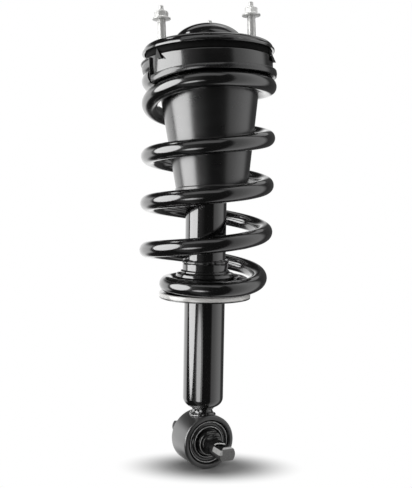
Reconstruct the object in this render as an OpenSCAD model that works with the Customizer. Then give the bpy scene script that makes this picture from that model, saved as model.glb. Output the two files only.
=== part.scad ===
// Front coil-over strut with a three-stud top mount and a bar-pin lower eye.
// Millimetres. The origin is the centre of the lower eye, +Z runs up the damper
// axis and the bar pin lies along Y. The top mount leans towards +Y in its bushing.

/* [Damper] */
// Outer diameter of the reserve tube
tube_d = 52; // [50:0.5:53]
// Wall of the reserve tube
tube_wall = 2; // [1.5:0.1:2.5]
// Height of the reserve tube's lower end above the eye centre
tube_bottom = 43; // [41:0.5:46]
// Radius of the tube's rounded lower end
tube_end_r = 12; // [8:0.5:14]
// Height of the reserve tube's rolled upper end
tube_top = 342; // [335:1:345]
// Bore of the pressure tube, which the piston runs in
bore_d = 32; // [30:0.5:34]
// Wall of the pressure tube
pressure_wall = 1.5; // [1:0.1:2]
// Diameter of the piston rod
rod_d = 20; // [18:0.5:21]
// Height of the piston's lower face with the strut at full length
piston_z = 262; // [240:1:268]

/* [Lower eye] */
// Outer diameter of the eye sleeve
eye_d = 69.5; // [68:0.5:72]
// Wall of the eye sleeve
eye_wall = 6; // [4.5:0.5:7]
// Length of the eye sleeve
eye_len = 41.5; // [38:0.5:44]
// Diameter of the bar pin's barrel in its bushing
barrel_d = 32; // [30:0.5:34]
// Length of the bar pin's barrel
barrel_len = 50; // [46:0.5:54]
// Length of the bar pin from end to end
bar_len = 139; // [130:1:144]
// Thickness of the bar pin's flat tongues
tongue_t = 15; // [13:0.5:16]
// Diameter of the round bar that the tongues are pressed from
tongue_d = 22; // [20:0.5:24]
// How far the middle of the tongues sits below the barrel's axis
tongue_drop = 1.9; // [0:0.1:2.5]
// Distance between the two bolt holes of the bar pin
bolt_spacing = 101; // [96:0.5:104]
// Diameter of the bar pin's bolt holes
bolt_hole_d = 13; // [12:0.1:13.5]

/* [Spring] */
// Diameter of the spring wire
wire_d = 20.5; // [19.5:0.1:20.6]
// Mean diameter of the full-size turns
coil_d = 148.5; // [148:0.1:149.5]
// Mean diameter of the closed turn on the lower seat
foot_coil_d = 96.6; // [96.3:0.1:97.5]
// Rise of one free turn
free_pitch = 59.1; // [58.8:0.1:59.4]
// Rise of one closed turn at the top
closed_pitch = 20; // [19.6:0.1:21]
// Turns between the upper end and the point where the wire is farthest to the right
head_turns = 0.578; // [0.5:0.001:0.578]
// Turns from that point to the lower end
body_turns = 5; // [4.8:0.01:5]

/* [Lower spring seat] */
// Height of the face that the spring stands on
seat_z = 192; // [191:0.5:193]
// Outer diameter of the seat
seat_d = 117; // [114:0.5:120]
// Sheet thickness of the seat
seat_t = 3; // [2.5:0.1:3.5]
// Depth of the seat's outer rim
seat_rim_h = 7.2; // [5:0.1:8.5]
// Height of the hub that centres the spring, above the seat face
hub_h = 24.5; // [20:0.5:25]
// Top of the seat's neck above the seat face
neck_h = 38; // [34:0.5:38]

/* [Top mount] */
// Height of the bushing centre, where the mount swivels on the rod
pivot_z = 480; // [478:0.5:481]
// Lean of the mount towards +Y
lean = 5.5; // [4.5:0.1:5.6]
// Height of the mount plate's rim above the bushing centre
plate_rise = 15.2; // [15:0.1:16]
// How far the mount plate's rim stands out past the wire's centre line
plate_over = 8.75; // [8:0.05:9.5]
// Sheet thickness of the mount plate
plate_t = 3; // [2.5:0.1:3.2]
// Width of the plate's rounded shoulder, between its flat top and its rim
shoulder_w = 11.5; // [10:0.1:12]
// Height of the flat top above the rim
flat_h = 8.1; // [7.5:0.1:8.5]
// Diameter of the dome where it meets the flat top
dome_d = 89.5; // [84:0.5:92]
// Height of the dome above the rim
dome_h = 35; // [31:0.5:37]
// Distance of the studs' axes in from the plate's rim
stud_inset = 19.7; // [19:0.1:20.5]
// Number of studs, and of crimp lugs
stud_count = 3; // [3]
// Thread diameter of the studs
stud_d = 10; // [9.5:0.1:10.5]
// Tip of the studs above the rim
stud_tip = 52.5; // [50:0.5:54]
// How much higher the far stud stands, to find its hole first
pilot_extra = 2.6; // [0:0.1:4]
// Seat of the flange nuts above the rim
nut_z = 35; // [33:0.5:36]
// How far the housing band sits in under the plate's rim
band_inset = 2.5; // [2:0.1:3]
// Top edge of the housing band below the plate's rim
band_top = 10.5; // [10:0.1:12]
// Sheet thickness of the housing
band_t = 2.5; // [2:0.1:3]
// Top of the housing floor below the plate's rim
floor_z = 17.5; // [17:0.1:18]

/* [Upper spring insulator] */
// How far the insulator's lip stands out past the plate's rim
lip_over = 2.3; // [1.5:0.1:3]
// Lip height above the spring wire where the strut is seen from the front
lip_h = 6; // [5:0.1:8]
// Gap between the spring wire and the insulator
wire_gap = 0.5; // [0.4:0.05:0.8]

/* [Dust cup] */
// Gap between the cup's straight upper part and the spring's turns
cup_gap = 1.2; // [1:0.1:1.5]
// End of the straight part below the plate's rim
cup_knee = 46; // [44:0.5:50]
// Outer diameter of the cup's open lower end
cup_end_d = 90.5; // [89.5:0.1:92]
// Open lower end of the cup below the plate's rim
cup_end = 174; // [168:1:174]
// Wall of the cup
cup_wall = 1.6; // [1.2:0.1:1.7]

/* [Bump stop] */
// Length of the bump stop
bump_len = 34; // [30:1:34]
// Diameter of the bump stop
bump_d = 46; // [40:1:48]

/* [Bushing] */
// Radius of the ball on the bushing core
ball_r = 15; // [14:0.5:16]
// Length of the bushing core
core_len = 24; // [24:0.5:26]
// Height of the bushing rubber
bushing_len = 17; // [14:0.5:17.5]
// Thread diameter of the rod's upper end
shank_d = 14; // [12:0.5:15]

/* [Hidden] */
$fn = 96;

// Clearances
running = 0.05;       // radial gap of a sliding or turning fit
seated = 0.05;        // gap where one piece sits in another of the same body
ball_gap = 0.3;       // gap round the ball in the rubber
touch = 0.02;         // gap between faces that rest on each other

// Damper
tube_r = tube_d / 2;
tube_in = tube_r - tube_wall;
bore_r = bore_d / 2;
pressure_r = bore_r + pressure_wall;
rod_r = rod_d / 2;
end_t = 3;                                // thickness of the reserve tube's closed end
floor_top = tube_bottom + end_t;
roll_t = 3;                               // thickness of the rolled upper edge
roll_in = tube_in - 4;
guide_top = tube_top - roll_t - touch;
guide_len = 24;
guide_z = guide_top - guide_len;
spigot_len = 8;                           // length of the guide inside the pressure tube
bush_t = 1.5;                             // wall of the guide bush
bush_len = 12;
seal_len = 9;
seal_r = 17;
cap_t = 1.5;                              // sheet of the striker cap
cap_skirt = 14;
base_len = 12;                            // height of the base valve

// Piston and its valves
piston_len = 16;
piston_gap = 0.6;                         // radial gap of the piston body in the bore
band_w = 8;                               // width of the piston band
band_depth = 1.2;
tail_r = 6;                               // radius of the rod's lower threaded tail
disc_t = 1.2;
nut_len = 9;
stop_len = 8;
piston_nut_r = 10.5;

// Lower eye
eye_r = eye_d / 2;
eye_in = eye_r - eye_wall;
barrel_r = barrel_d / 2;
stem_r = 12.5;
weld_r = 15.5;
ring_depth = 2;
chamfer = 1.2;

// Spring
wire_r = wire_d / 2;
coil_r = coil_d / 2;
foot_r = foot_coil_d / 2;
sight = 27;                               // the wire passes its rightmost point at -sight degrees
ring_steps = 32;                          // rings a turn
wire_sides = 10;
foot_z = seat_z + wire_r + 0.2;           // wire centre on the lower seat
free_mid = 1.25;                          // turn at which the free height is stated
free_rise = 173.7;                        // free height there above the lower seat's wire
free_z = foot_z + free_rise;
free_tilt = 1.45;                         // rise and fall of the free turns, from the spring's lean
head_blend = [0.24, 0.62];                // turns over which the wire leaves the upper seat
foot_blend = [3.9, 4.25];                 // turns over which it settles on the lower seat
draw_in = [3.8, 4.5];                     // turns over which it draws in to the foot radius

// Top mount, measured from the plate's rim
plate_r = coil_r + plate_over;
flat_r = plate_r - shoulder_w;
stud_circle_r = plate_r - stud_inset;
dome_r = dome_d / 2;
band_r = plate_r - band_inset;
band_in = band_r - band_t;                // inside of the housing band
stud_r = stud_d / 2;
lip_r = plate_r + lip_over;
head_z = -46.6;                           // wire centre on the level part of the upper seat
floor_t = band_t;
floor_under = floor_z + floor_t;
sleeve_r = 36.5;                          // outside of the bushing's steel sleeve
sleeve_t = 2.5;
sleeve_over = 2;                          // how far the sleeve stands past the rubber
collar_h = 7;
seat_in_r = coil_r - wire_r + 0.8;        // bore of the upper insulator
step_angle = -175;                        // where the insulator's ramp starts
step_gap = 2;                             // slit where the ramp ends
head_r = 8;                               // stud heads
head_t = 3.5;
knurl = 0.5;                              // how far the pressed-in knurl stands out of the stud
thread_r = stud_r - 0.5;                  // pitch radius of the stud's thread in its nut
nut_flange_r = 11.3;
nut_flange_t = 1.8;
nut_h = 10;
nut_af = 15;
stud_angle = 180;
lug_angle = 17;                           // from a stud to the next lug
lug_span = 11;                            // degrees that a lug takes up
lug_lift = 2.5;                           // how far a lug stands out of the band
lug_foot = 7;                             // how far a lug reaches down the band
groove_in = 4.5;                          // how far the rubber sits back under the plate's rim
rubber_ends = [84, 38];                   // degrees of the shoulder's arc that the rubber fills

// Rod top
core_r = 9;
washer_t = 3;
washer_r = 22;
washer_dish = 2;                          // how far a washer's rim turns away
shoulder_z = pivot_z - core_len / 2 - washer_t;
nut_top_h = 12;
rod_nut_af = 21;
rod_end_z = pivot_z + core_len / 2 + washer_t + nut_top_h + 4;
bump_z = shoulder_z - washer_dish - bump_len - touch;

// ---------------------------------------------------------------- helpers

// Points of an arc about [x, y], from angle a to angle b in n steps
function arc(x, y, rx, ry, a, b, n = 8) =
    [for (i = [0:n]) let (t = a + (b - a) * i / n) [x + rx * cos(t), y + ry * sin(t)]];

function clamp01(v) = min(1, max(0, v));
function smooth(v) = let (u = clamp01(v)) u * u * (3 - 2 * u);
function mix(a, b, s) = a * (1 - s) + b * s;

// A ring from radius r_in to r_out between two heights
module ring(r_in, r_out, z0, z1) {
    rotate_extrude()
        polygon([[r_in, z0], [r_out, z0], [r_out, z1], [r_in, z1]]);
}

// Puts a shape that is drawn from the plate's rim into the leaning mount
module in_mount() {
    translate([0, 0, pivot_z])
        rotate([-lean, 0, 0])
            translate([0, 0, plate_rise])
                children();
}

// The same for a point, and its height back in the mount
function mount_point(p) =
    let (h = p[2] + plate_rise)
    [p[0], p[1] * cos(lean) + h * sin(lean), pivot_z - p[1] * sin(lean) + h * cos(lean)];
function mount_height(p) =
    p[1] * sin(lean) + (p[2] - pivot_z) * cos(lean) - plate_rise;

// Children at every stud, or turned on from there by extra degrees
module at_studs(extra = 0) {
    for (i = [0:stud_count - 1])
        rotate([0, 0, stud_angle + extra + i * 360 / stud_count])
            children();
}

module hex_prism(af, h) {
    cylinder(d = af / cos(30), h = h, $fn = 6);
}

// ---------------------------------------------------------------- spring path

// Direction of the wire round the axis after t turns
function coil_angle(t) = -360 * t - sight;

function coil_radius(t) =
    mix(coil_r, foot_r, smooth((t - draw_in[0]) / (draw_in[1] - draw_in[0])));

function polar(r, a, z) = [r * cos(a), r * sin(a), z];

// Wire centre where it lies under the mount, and where it runs free
function head_point(t) =
    mount_point(polar(coil_r, coil_angle(t), head_z + max(0, -t) * closed_pitch));
function free_height(t) =
    free_z - free_pitch * (t - free_mid) - free_tilt * cos(360 * t);
function foot_height(t) =
    mix(free_height(t), foot_z, smooth((t - foot_blend[0]) / (foot_blend[1] - foot_blend[0])));
function free_point(t) =
    let (shift = (plate_rise + head_z) * sin(lean) * (1 - clamp01(t / foot_blend[0])))
    polar(coil_radius(t), coil_angle(t), foot_height(t)) + [0, shift, 0];

function wire_point(t) =
    mix(head_point(t), free_point(t),
        smooth((t - head_blend[0]) / (head_blend[1] - head_blend[0])));

spring_turns = head_turns + body_turns;
spring_rings = ceil(spring_turns * ring_steps);
function ring_turn(i) = -head_turns + spring_turns * i / spring_rings;

// Wire direction at t, and the wire's cross-section there
wire_step = 0.002;
function unit(v) = v / norm(v);
function wire_way(t) = unit(wire_point(t + wire_step) - wire_point(t - wire_step));
function wire_ring(t) =
    let (c = wire_point(t),
         w = wire_way(t),
         out = unit([cos(coil_angle(t)), sin(coil_angle(t)), 0]),
         up = unit(cross(out, w)),
         side = cross(w, up))
    [for (k = [0:wire_sides - 1])
        let (a = 360 * k / wire_sides)
        c + wire_r * (cos(a) * side + sin(a) * up)];

spring_points = [for (i = [0:spring_rings]) each wire_ring(ring_turn(i))];

// Least gap between the wire and the turn after it, on the centre line
gap_steps = 48;
spring_gap = min([for (i = [0:(spring_turns - 1) * gap_steps])
    let (t = -head_turns + i / gap_steps)
    min([for (k = [-6:6])
        norm(wire_point(t) - wire_point(t + 1 + k / gap_steps / 2))])]) - wire_d;
echo(least_gap_of_the_spring_to_itself = spring_gap);

// Closed skin over rings of n points each
function skin_faces(rings, n) = concat(
    [for (i = [0:rings - 2], k = [0:n - 1])
        let (a = i * n + k, b = i * n + (k + 1) % n)
        each [[a, a + n, b], [b, a + n, b + n]]],
    [for (k = [1:n - 2]) [0, k, k + 1]],
    [for (k = [1:n - 2]) let (e = (rings - 1) * n) [e, e + k + 1, e + k]]);

// ---------------------------------------------------------------- top mount

// Rounded shoulder of the plate, set in by s, between two angles
function shoulder(s, ends = [90, 0]) =
    arc(flat_r, 0, shoulder_w - s, flat_h - s, ends[0], ends[1]);
function dome(s) = arc(0, flat_h - s, dome_r - s, dome_h - flat_h, 0, 90, 16);

module mount_plate() {
    fillet_r = 3;
    color("#101012")
    in_mount()
    difference() {
        rotate_extrude()
            polygon(concat(
                [for (p = dome(0)) [p[0], p[1]]],
                [for (i = [16:-1:0]) dome(plate_t)[i]],
                [for (p = shoulder(plate_t)) p],
                [[plate_r - plate_t, -plate_t], [plate_r, -plate_t]],
                [for (i = [8:-1:0]) shoulder(0)[i]],
                [[dome_r + fillet_r, flat_h]]));
        at_studs()
            translate([stud_circle_r, 0, -plate_t])
                cylinder(r = stud_r + knurl + seated, h = flat_h + 2 * plate_t);
    }
}

// One stud, up to its tip
module stud(tip) {
    dog_r = 2.4;
    dog_h = 5;
    dog_edge = 0.6;
    tip_h = 1.5;
    under = flat_h - plate_t - touch;
    rotate_extrude($fn = 48)
        polygon([
            [0, under - head_t], [head_r, under - head_t], [head_r, under],
            [stud_r + knurl, under], [stud_r + knurl, flat_h], [stud_r, flat_h],
            [stud_r, nut_z - touch], [thread_r, nut_z - touch],
            [thread_r, tip - dog_h - tip_h], [dog_r, tip - dog_h],
            [dog_r, tip - dog_edge], [dog_r - dog_edge, tip], [0, tip]]);
}

module mount_studs() {
    color("#c8c9c6")
    in_mount()
    for (i = [1:stud_count])
        rotate([0, 0, stud_angle + (i - 1) * 360 / stud_count])
        translate([stud_circle_r, 0, 0])
            stud(stud_tip + (i == stud_count ? pilot_extra : 0));
}

module stud_nuts() {
    cone_h = 2;
    bevel = 1.2;
    color("#c8c9c6")
    in_mount()
    at_studs()
    translate([stud_circle_r, 0, nut_z])
        difference() {
            union() {
                rotate_extrude($fn = 48)
                    polygon([[0, 0], [nut_flange_r, 0], [nut_flange_r, nut_flange_t],
                        [nut_af / 2, nut_flange_t + cone_h], [0, nut_flange_t + cone_h]]);
                intersection() {
                    translate([0, 0, nut_flange_t])
                        hex_prism(nut_af, nut_h - nut_flange_t);
                    rotate_extrude($fn = 48)
                        polygon([[0, 0], [nut_af / 2 + bevel, 0],
                            [nut_af / 2 + bevel, nut_h - bevel], [nut_af / 2 - 0.3, nut_h],
                            [0, nut_h]]);
                }
            }
            translate([0, 0, -1])
                cylinder(r = thread_r + seated, h = nut_h + 2, $fn = 48);
        }
}

module mount_rubber() {
    room = 0.5;                           // between the rubber and the housing band
    color("#1b1b1c")
    in_mount()
    rotate_extrude()
        polygon(concat(
            [[sleeve_r + 4, -floor_z + touch], [band_in - room, -floor_z + touch],
             [band_in - room, -band_top], [plate_r - groove_in, -band_top + 1]],
            [for (i = [8:-1:0]) shoulder(plate_t + 2 * seated, rubber_ends)[i]],
            [[flat_r + 0.4, -2], [sleeve_r + 6, -6]]));
}

// The band's lower edge steps down behind the insulator's lip, clear of its ramp
skirt_at = [0, 25, 170, 270, 360];
function skirt_z(k) = ramp_t +
    max([for (a = [skirt_at[k]:5:skirt_at[k + 1]]) ramp_z(step_angle + a)]);

module mount_housing() {
    collar_r = sleeve_r + seated;
    deep = -60;
    lap = 0.3;
    lug = [[band_in + 1, -band_top - lug_foot], [band_r + lug_lift, -band_top + 2],
        [band_r + lug_lift - 1.2, -plate_t - 1], [band_in + 1, -band_top + 1]];
    color("#141416")
    in_mount()
    union() {
        difference() {
            rotate_extrude()
                polygon([
                    [collar_r, -floor_under - collar_h],
                    [collar_r + floor_t, -floor_under - collar_h],
                    [collar_r + floor_t, -floor_under], [band_in, -floor_under],
                    [band_in, deep + 1], [band_r, deep + 1], [band_r, -band_top],
                    [band_in, -band_top], [band_in, -floor_z], [collar_r, -floor_z]]);
            for (k = [0:len(skirt_at) - 2])
                rotate([0, 0, step_angle + skirt_at[k]])
                    rotate_extrude(angle = skirt_at[k + 1] - skirt_at[k] + lap)
                        polygon([[band_in - 1, deep], [band_r + 1, deep],
                            [band_r + 1, skirt_z(k)], [band_in - 1, skirt_z(k)]]);
        }
        at_studs(lug_angle - lug_span / 2)
            rotate_extrude(angle = lug_span)
                polygon(lug);
    }
}

module bushing_sleeve() {
    half = bushing_len / 2 + sleeve_over;
    flange_r = sleeve_r + 3;
    color("#26262a")
    in_mount()
    translate([0, 0, -plate_rise])
        rotate_extrude()
            polygon([[sleeve_r - sleeve_t, -half], [sleeve_r, -half],
                [sleeve_r, plate_rise - floor_z + touch],
                [flange_r, plate_rise - floor_z + touch],
                [flange_r, plate_rise - floor_z + sleeve_t],
                [sleeve_r, plate_rise - floor_z + sleeve_t],
                [sleeve_r, half], [sleeve_r - sleeve_t, half]]);
}

module bushing_rubber() {
    half = bushing_len / 2;
    socket_r = ball_r + ball_gap;
    color("#1b1b1c")
    in_mount()
    translate([0, 0, -plate_rise])
        difference() {
            cylinder(r = sleeve_r - sleeve_t, h = bushing_len, center = true);
            sphere(r = socket_r);
            translate([0, 0, half - 2])
                ring(socket_r + 5, socket_r + 10, 0, 3);
            translate([0, 0, -half - 1])
                ring(socket_r + 5, socket_r + 10, 0, 3);
        }
}

// Ramp of the insulator: it follows the top of the wire once round the mount
ramp_t = 2;
ramp_rings = 60;
function ramp_angle(i) = step_angle + (360 - step_gap) * i / ramp_rings;
function ramp_turn(a) = -(a + sight) / 360;
function ramp_z(a) =
    let (t = ramp_turn(min(a, step_angle + 360 - step_gap)))
    mount_height(wire_point(t)) + wire_r + wire_gap;

// Height of the lip's upper edge: lowest at the step, then rising by turns to the far end
lip_start = 9.4;
lip_rear = 9.5;
lip_end = 11.4;
lip_rise = [[0, lip_start], [58, lip_h], [148, lip_rear], [360, lip_end]];
function lip_z(a) = ramp_z(a) + lookup(a - step_angle, lip_rise);

module spring_insulator() {
    edge = 1.5;
    loose = 0.25;                         // room for the band in the lip's groove
    color("#18181a")
    in_mount()
    polyhedron(
        [for (i = [0:ramp_rings])
            let (a = ramp_angle(i), low = ramp_z(a), high = lip_z(a))
            each [polar(seat_in_r, a, -floor_under - touch),
                  polar(band_in - loose, a, -floor_under - touch),
                  polar(band_in - loose, a, low + ramp_t - touch),
                  polar(band_r + loose, a, low + ramp_t - touch),
                  polar(band_r + loose, a, high),
                  polar(lip_r - edge, a, high),
                  polar(lip_r, a, high - edge),
                  polar(lip_r, a, low + edge),
                  polar(lip_r - edge, a, low),
                  polar(seat_in_r, a, low)]],
        skin_faces(ramp_rings + 1, 10));
}

module dust_cup() {
    top = floor_under + touch;
    flange_in = sleeve_r + floor_t + 1;
    top_r = coil_r - wire_r - cup_gap;
    end_r = cup_end_d / 2;
    bead = 0.8;
    color("#1d1d1f")
    in_mount()
    rotate_extrude()
        polygon([
            [flange_in, -top], [top_r, -top], [top_r, -cup_knee], [end_r, -cup_end + 4],
            [end_r + bead, -cup_end + 3], [end_r + bead, -cup_end], [end_r - cup_wall, -cup_end],
            [end_r - cup_wall, -cup_end + 4], [top_r - cup_wall, -cup_knee],
            [top_r - cup_wall, -top - 2], [flange_in, -top - 2]]);
}

// ---------------------------------------------------------------- rod

module piston_rod() {
    hex_af = 6;
    hex_depth = 8;
    color("#d5d8dc")
    difference() {
        rotate_extrude()
            polygon([
                [0, piston_z - nut_len - 4], [tail_r, piston_z - nut_len - 4],
                [tail_r, piston_z + piston_len], [rod_r, piston_z + piston_len],
                [rod_r, shoulder_z], [shank_d / 2, shoulder_z],
                [shank_d / 2, rod_end_z - 1.5], [shank_d / 2 - 1.5, rod_end_z],
                [0, rod_end_z]]);
        translate([0, 0, rod_end_z - hex_depth])
            hex_prism(hex_af, hex_depth + 1);
    }
}

module bushing_core() {
    color("#8f9194")
    translate([0, 0, pivot_z])
        difference() {
            union() {
                intersection() {
                    sphere(r = ball_r);
                    cylinder(r = ball_r, h = core_len - 2 * touch, center = true);
                }
                cylinder(r = core_r, h = core_len - 2 * touch, center = true);
            }
            cylinder(r = shank_d / 2 + seated, h = core_len + 1, center = true);
        }
}

// Washer on the core's end, whose rim turns away from the bushing
module dished_washer() {
    flat = washer_r - 6;
    rotate_extrude()
        polygon([
            [shank_d / 2 + seated, touch], [flat, touch], [washer_r, washer_dish],
            [washer_r, washer_dish + washer_t - touch], [flat - 0.5, washer_t - touch],
            [shank_d / 2 + seated, washer_t - touch]]);
}

module lower_washer() {
    color("#9a9ca0")
    translate([0, 0, pivot_z - core_len / 2])
        mirror([0, 0, 1])
            dished_washer();
}

module upper_washer() {
    color("#9a9ca0")
    translate([0, 0, pivot_z + core_len / 2])
        dished_washer();
}

module rod_nut() {
    flange_r = 14;
    flange_t = 2;
    z = pivot_z + core_len / 2 + washer_t;
    color("#c0c2c4")
    translate([0, 0, z])
        difference() {
            union() {
                cylinder(r = flange_r, h = flange_t);
                hex_prism(rod_nut_af, nut_top_h);
            }
            translate([0, 0, -1])
                cylinder(r = shank_d / 2 + seated, h = nut_top_h + 2);
        }
}

module bump_stop() {
    r = bump_d / 2;
    waist = 3;
    in_r = rod_r + seated;
    function up(part) = bump_z + part * bump_len;
    color("#b9a878")
    rotate_extrude()
        polygon([
            [in_r, up(0.12)], [in_r + 3, up(0)], [r - 7, up(0)], [r - 4, up(0.09)],
            [r - 4, up(0.18)], [r - 4 - waist, up(0.26)], [r - 2, up(0.38)],
            [r - 2, up(0.5)], [r - 2 - waist, up(0.59)], [r, up(0.74)],
            [r, up(0.94)], [r - 2, up(1)], [in_r, up(1)]]);
}

module rebound_stop() {
    z = piston_z + piston_len + 3;
    color("#2a2a2c")
    ring(rod_r + seated, bore_r - 1.5, z, z + stop_len);
}

module piston() {
    r = bore_r - piston_gap;
    port_r = 1.8;
    ports = 6;
    color("#a9abad")
    difference() {
        rotate_extrude()
            polygon([
                [tail_r + seated, piston_z], [r, piston_z],
                [r, piston_z + (piston_len - band_w) / 2],
                [r - band_depth, piston_z + (piston_len - band_w) / 2],
                [r - band_depth, piston_z + (piston_len + band_w) / 2],
                [r, piston_z + (piston_len + band_w) / 2],
                [r, piston_z + piston_len - touch], [tail_r + seated, piston_z + piston_len - touch]]);
        for (i = [0:ports - 1])
            rotate([0, 0, i * 360 / ports])
                translate([(tail_r + r) / 2, 0, piston_z - 1])
                    cylinder(r = port_r, h = piston_len + 2, $fn = 24);
    }
}

module piston_band() {
    z = piston_z + (piston_len - band_w) / 2;
    color("#7d6a3a")
    ring(bore_r - piston_gap - band_depth + seated, bore_r - running, z + seated, z + band_w - seated);
}

module rebound_discs() {
    discs = 3;
    color("#c4c4c4")
    rotate_extrude()
        polygon(concat(
            [for (i = [0:discs - 1]) each [
                [bore_r - 3 - 2 * i, piston_z - touch - i * disc_t],
                [bore_r - 3 - 2 * i, piston_z - touch - (i + 1) * disc_t]]],
            [[tail_r + seated, piston_z - touch - discs * disc_t],
             [tail_r + seated, piston_z - touch]]));
}

module piston_nut() {
    z = piston_z - nut_len - 2;
    h = nut_len - 2 - 2 * touch;
    color("#c0c2c4")
    translate([0, 0, z])
        difference() {
            hex_prism(2 * piston_nut_r * cos(30), h);
            translate([0, 0, -1])
                cylinder(r = tail_r + seated, h = h + 2);
        }
}

// ---------------------------------------------------------------- damper

module reserve_tube() {
    inner_end_r = tube_end_r - end_t;
    color("#121214")
    rotate_extrude()
        polygon(concat(
            [[0, tube_bottom]],
            arc(tube_r - tube_end_r, tube_bottom + tube_end_r, tube_end_r, tube_end_r, -90, 0),
            [[tube_r, tube_top - 1.5], [tube_r - 1.5, tube_top], [roll_in, tube_top],
             [roll_in, tube_top - roll_t], [tube_in, tube_top - roll_t]],
            [for (i = [8:-1:0])
                arc(tube_in - inner_end_r, floor_top + inner_end_r,
                    inner_end_r, inner_end_r, -90, 0)[i]],
            [[0, floor_top]]));
}

module pressure_tube() {
    color("#7b7d80")
    ring(bore_r, pressure_r, floor_top + base_len / 2, guide_z + spigot_len - touch);
}

module base_valve() {
    hole_r = 1.5;
    holes = 4;
    z = floor_top + touch;
    color("#8a8c8f")
    difference() {
        rotate_extrude()
            polygon([[0, z], [tube_in - 9, z], [pressure_r + 1, z + 2],
                [pressure_r + 1, z + base_len / 2 - 2 * touch],
                [bore_r - seated, z + base_len / 2 - 2 * touch],
                [bore_r - seated, z + base_len], [0, z + base_len]]);
        for (i = [0:holes - 1])
            rotate([0, 0, i * 360 / holes])
                translate([bore_r / 2, 0, z - 1])
                    cylinder(r = hole_r, h = base_len + 2, $fn = 24);
    }
}

module rod_guide() {
    bush_r = rod_r + running + bush_t + seated;
    color("#9b9da0")
    rotate_extrude()
        polygon([
            [bush_r, guide_z], [bore_r - seated, guide_z],
            [bore_r - seated, guide_z + spigot_len], [tube_in - seated, guide_z + spigot_len],
            [tube_in - seated, guide_top], [seal_r + seated, guide_top],
            [seal_r + seated, guide_top - seal_len], [bush_r, guide_top - seal_len]]);
}

module guide_bush() {
    color("#7a6a45")
    ring(rod_r + running, rod_r + running + bush_t, guide_z + 1, guide_z + 1 + bush_len);
}

module rod_seal() {
    z = guide_top - seal_len + touch;
    color("#1b1b1c")
    rotate_extrude()
        polygon([
            [rod_r + running, z], [seal_r, z], [seal_r, guide_top - touch],
            [rod_r + 3, guide_top - touch], [rod_r + 2, guide_top + 1],
            [rod_r + running, guide_top + 1], [rod_r + running, guide_top - 1],
            [rod_r + 1.5, guide_top - 3], [rod_r + running, guide_top - 5]]);
}

module striker_cap() {
    z = tube_top + touch;
    r = tube_r + seated;
    color("#17171a")
    rotate_extrude()
        polygon([
            [r, z - cap_skirt], [r + cap_t, z - cap_skirt], [r + cap_t, z + cap_t - 1],
            [r + cap_t - 1, z + cap_t], [rod_r + 3, z + cap_t], [rod_r + 3, z], [r, z]]);
}

module spring_seat() {
    hub_r = foot_r - wire_r - 0.5;
    bore = tube_r + seated;
    neck_r = tube_r + seat_t;
    seat_r = seat_d / 2;
    edge = 2;
    slope = 1;                            // how far the hub's top falls from neck to edge
    rise = seat_z + hub_h;
    color("#131315")
    rotate_extrude()
        polygon([
            [bore, seat_z + neck_h], [neck_r - 1, seat_z + neck_h], [neck_r, seat_z + neck_h - 1],
            [neck_r, rise + slope + 2], [neck_r + 1.5, rise + slope],
            [hub_r - edge, rise], [hub_r, rise - edge], [hub_r, seat_z],
            [seat_r - edge, seat_z], [seat_r - 0.6, seat_z - 0.6], [seat_r, seat_z - edge],
            [seat_r, seat_z - seat_rim_h], [seat_r - seat_t, seat_z - seat_rim_h],
            [seat_r - seat_t - 0.6, seat_z - seat_t], [hub_r - seat_t, seat_z - seat_t],
            [hub_r - seat_t, rise - seat_t - edge], [bore, rise + slope - seat_t]]);
}

module coil_spring() {
    color("#101012")
    polyhedron(spring_points, skin_faces(spring_rings + 1, wire_sides));
}

// ---------------------------------------------------------------- lower eye

// Weld stem between the tube's closed end and the sleeve
module eye_stem() {
    waist_z = (eye_r + tube_bottom) / 2 + 0.5;
    low = sqrt(eye_r * eye_r - weld_r * weld_r) - 0.5;
    color("#161618")
    difference() {
        rotate_extrude($fn = 64)
            polygon([
                [0, low], [weld_r, low], [weld_r, eye_r - 1.5], [stem_r + 1, eye_r + 1],
                [stem_r, waist_z], [stem_r + 0.8, tube_bottom - 1.4],
                [stem_r + 1.5, tube_bottom - touch], [0, tube_bottom - touch]]);
        rotate([90, 0, 0])
            cylinder(r = eye_r + touch, h = eye_len + 2, center = true);
    }
}

module eye_sleeve() {
    edge = 0.8;
    half = eye_len / 2;
    color("#151517")
    rotate([90, 0, 0])
        rotate_extrude()
            polygon([
                [eye_in, -half + edge], [eye_in + edge, -half], [eye_r - edge, -half],
                [eye_r, -half + edge], [eye_r, half - edge], [eye_r - edge, half],
                [eye_in + edge, half], [eye_in, half - edge]]);
}

// Rubber between sleeve and barrel, with moulded rings on both faces
module eye_bushing() {
    half = eye_len / 2 - 1.5;
    in_r = barrel_r + running;
    out_r = eye_in - seated;
    rings = 3;
    width = out_r - in_r;
    face = concat(
        [[out_r, half - ring_depth]],
        [for (i = [0:rings - 1])
            let (r = out_r - i * width / rings, w = width / rings, y = half - i * 0.9)
            each [[r - 0.15 * w, y], [r - 0.5 * w, y], [r - 0.7 * w, y - ring_depth],
                  [r - 0.9 * w, y - ring_depth]]],
        [[in_r, half - rings * 0.9]]);
    color("#1a1a1b")
    rotate([90, 0, 0])
        rotate_extrude()
            polygon(concat(
                face,
                [for (i = [len(face) - 1:-1:0]) [face[i][0], -face[i][1]]]));
}

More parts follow.
